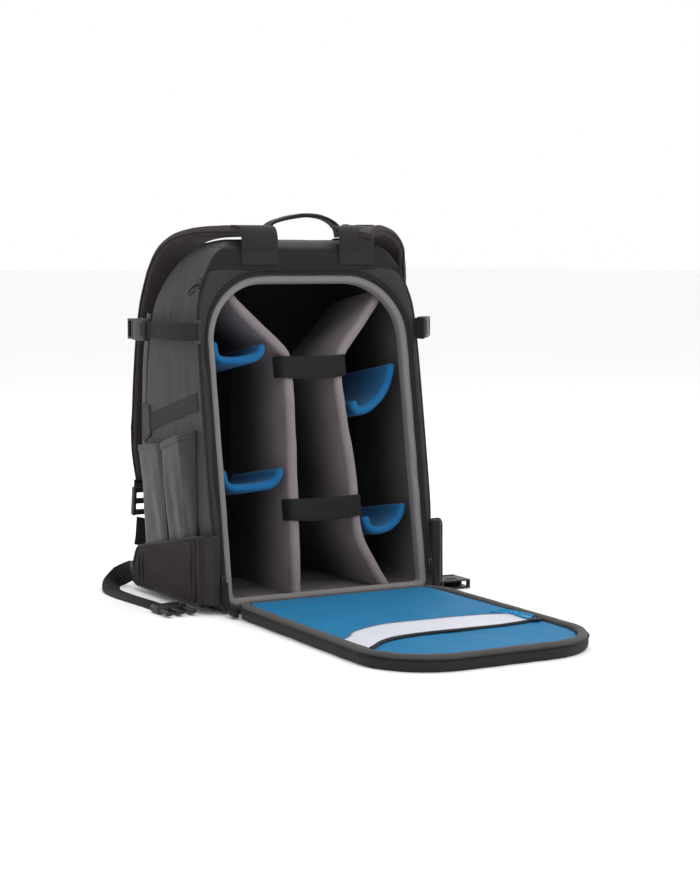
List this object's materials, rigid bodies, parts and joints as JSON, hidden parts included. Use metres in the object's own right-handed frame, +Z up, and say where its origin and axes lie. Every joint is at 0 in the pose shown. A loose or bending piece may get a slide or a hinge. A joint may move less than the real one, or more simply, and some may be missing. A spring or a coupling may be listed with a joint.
{
  "type": "camera backpack",
  "caption": "Camera backpack standing upright with its padded back flap opened flat, padded dividers and shelves, straps, hip belt and side pockets.",
  "frame": {"origin": "centre of the base's underside, on the floor", "axes": "+Z up, +Y from the opening to the far side, +X to the right of someone who faces the opening"},
  "size_m": [0.403, 0.64, 0.4475],
  "materials": {
    "shell_fabric": "coated woven polyester, satin",
    "pocket_fabric": "smooth coated fabric with a soft sheen",
    "dark_fabric": "matt woven nylon",
    "binding": "woven binding tape, matt",
    "padded_lining": "brushed hook-and-loop lining, matt",
    "blue_pad": "brushed padded fabric, matt",
    "blue_lining": "thin woven nylon, slight sheen",
    "white_fabric": "smooth coated fabric",
    "padded_black": "padded air mesh, matt",
    "zip_tape": "coil zip on woven tape",
    "slider_metal": "black enamelled metal",
    "moulded_plastic": "moulded acetal, satin",
    "cyan_cord": "braided cord",
    "harness_mesh": "spacer mesh and nylon, matt",
    "belt_mesh": "spacer mesh with bound edge, matt",
    "webbing": "woven nylon webbing"
  },
  "bodies": {
    "bag": {"side_panel_left": "shell_fabric", "side_panel_right": "shell_fabric", "top_panel": "shell_fabric", "base_panel": "dark_fabric", "front_panel": "shell_fabric", "surround": "shell_fabric", "yoke_band": "dark_fabric", "opening_rim": "binding", "main_zip_tape": "zip_tape", "hinge_fold": "binding", "lining_left": "padded_lining", "lining_right": "padded_lining", "lining_top": "padded_lining", "lining_base": "padded_lining", "lining_front": "padded_lining", "divider_left": "padded_lining", "divider_right": "padded_lining", "elastic_upper": "webbing", "elastic_lower": "webbing", "lower_webbing_left": "webbing", "lower_webbing_right": "webbing", "strap_anchors": "shell_fabric", "wing_roots": "belt_mesh", "side_pocket_left": "pocket_fabric", "side_pocket_right": "pocket_fabric", "upper_straps": "webbing", "lower_straps": "webbing", "buckle_sockets": "moulded_plastic", "front_pocket": "shell_fabric"},
    "flap": {"flap_pad": "padded_black", "flap_rim": "binding", "flap_lining": "blue_lining", "flap_pocket": "blue_lining", "flap_band": "white_fabric", "flap_zip_tape": "zip_tape"},
    "flap_slider": {"flap_zip_slider": "slider_metal", "flap_pull_cord": "cyan_cord"},
    "zip_slider_left": {"main_slider_left": "slider_metal"},
    "zip_slider_right": {"main_slider_right": "slider_metal"},
    "zip_pull_left": {"main_pull_left": "moulded_plastic"},
    "zip_pull_right": {"main_pull_right": "moulded_plastic"},
    "shoulder_left": {"shoulder_strap_left": "harness_mesh", "ladder_lock_left": "moulded_plastic"},
    "shoulder_right": {"shoulder_strap_right": "harness_mesh", "ladder_lock_right": "moulded_plastic"},
    "belt_left": {"wing_left": "belt_mesh", "waist_web_left": "webbing", "waist_plug": "moulded_plastic"},
    "belt_right": {"wing_right": "belt_mesh", "waist_web_right": "webbing", "waist_socket": "moulded_plastic"},
    "plug_left": {"buckle_plug_left": "moulded_plastic"},
    "plug_right": {"buckle_plug_right": "moulded_plastic"},
    "handle": {"grab_handle": "webbing"},
    "pocket_slider": {"front_slider": "slider_metal"},
    "side_zip_slider": {"side_slider": "slider_metal"},
    "shelf_1": {"shelf_upper_left": "blue_pad"},
    "shelf_2": {"shelf_lower_left": "blue_pad"},
    "shelf_3": {"shelf_upper_right": "blue_pad"},
    "shelf_4": {"shelf_lower_right": "blue_pad"}
  },
  "joints": [
    {"name": "flap_hinge", "type": "hinge", "parent": "bag", "child": "flap", "pos_m": [0, -0.11205, 0.01412], "axis": [-1, 0, 0], "range_deg": [0, 99.3]},
    {"name": "flap_zip_slide", "type": "slide", "parent": "flap", "child": "flap_slider", "axis": [-1, 0, 0], "range_m": [0, 0.16]},
    {"name": "main_zip_slide_left", "type": "slide", "parent": "bag", "child": "zip_slider_left", "axis": [0, 0.1616, 0.9869], "range_m": [0, 0.25]},
    {"name": "main_pull_hinge_left", "type": "hinge", "parent": "zip_slider_left", "child": "zip_pull_left", "pos_m": [-0.1338, -0.11257, 0.0369], "axis": [-1, 0, 0], "range_deg": [0, 60]},
    {"name": "shoulder_hinge_left", "type": "hinge", "parent": "bag", "child": "shoulder_left", "pos_m": [-0.06, -0.044, 0.418], "axis": [1, 0, 0], "range_deg": [0, 12], "deforming": ["lower_webbing_left"]},
    {"name": "belt_hinge_left", "type": "hinge", "parent": "bag", "child": "belt_left", "pos_m": [-0.143, -0.104, 0.012], "axis": [0, 0, 1], "range_deg": [0, 110]},
    {"name": "main_zip_slide_right", "type": "slide", "parent": "bag", "child": "zip_slider_right", "axis": [0, 0.1616, 0.9869], "range_m": [0, 0.25]},
    {"name": "main_pull_hinge_right", "type": "hinge", "parent": "zip_slider_right", "child": "zip_pull_right", "pos_m": [0.1338, -0.11257, 0.0369], "axis": [-1, 0, 0], "range_deg": [0, 60]},
    {"name": "shoulder_hinge_right", "type": "hinge", "parent": "bag", "child": "shoulder_right", "pos_m": [0.066, -0.044, 0.418], "axis": [1, 0, 0], "range_deg": [0, 12], "deforming": ["lower_webbing_right"]},
    {"name": "belt_hinge_right", "type": "hinge", "parent": "bag", "child": "belt_right", "pos_m": [0.143, -0.104, 0.012], "axis": [0, 0, -1], "range_deg": [0, 110]},
    {"name": "buckle_slide_left", "type": "slide", "parent": "bag", "child": "plug_left", "axis": [0, 1, 0], "range_m": [0, 0.03]},
    {"name": "buckle_slide_right", "type": "slide", "parent": "bag", "child": "plug_right", "axis": [0.6157, 0.788, 0], "range_m": [0, 0.03]},
    {"name": "handle_hinge", "type": "hinge", "parent": "bag", "child": "handle", "pos_m": [0.026, 0.01, 0.424], "axis": [1, 0, 0], "range_deg": [-30, 8]},
    {"name": "front_zip_slide", "type": "slide", "parent": "bag", "child": "pocket_slider", "axis": [1, 0, 0], "range_m": [0, 0.126]},
    {"name": "side_zip_slide", "type": "slide", "parent": "bag", "child": "side_zip_slider", "axis": [-0.309, 0, -0.9511], "range_m": [0, 0.035]},
    {"name": "shelf_upper_left_slide", "type": "slide", "parent": "bag", "child": "shelf_1", "axis": [0, 0.9869, -0.1616], "range_m": [-0.14, 0]},
    {"name": "shelf_lower_left_slide", "type": "slide", "parent": "bag", "child": "shelf_2", "axis": [0, 0.9869, -0.1616], "range_m": [-0.14, 0]},
    {"name": "shelf_upper_right_slide", "type": "slide", "parent": "bag", "child": "shelf_3", "axis": [0, 0.9869, -0.1616], "range_m": [-0.14, 0]},
    {"name": "shelf_lower_right_slide", "type": "slide", "parent": "bag", "child": "shelf_4", "axis": [0, 0.9869, -0.1616], "range_m": [-0.14, 0]}
  ]
}
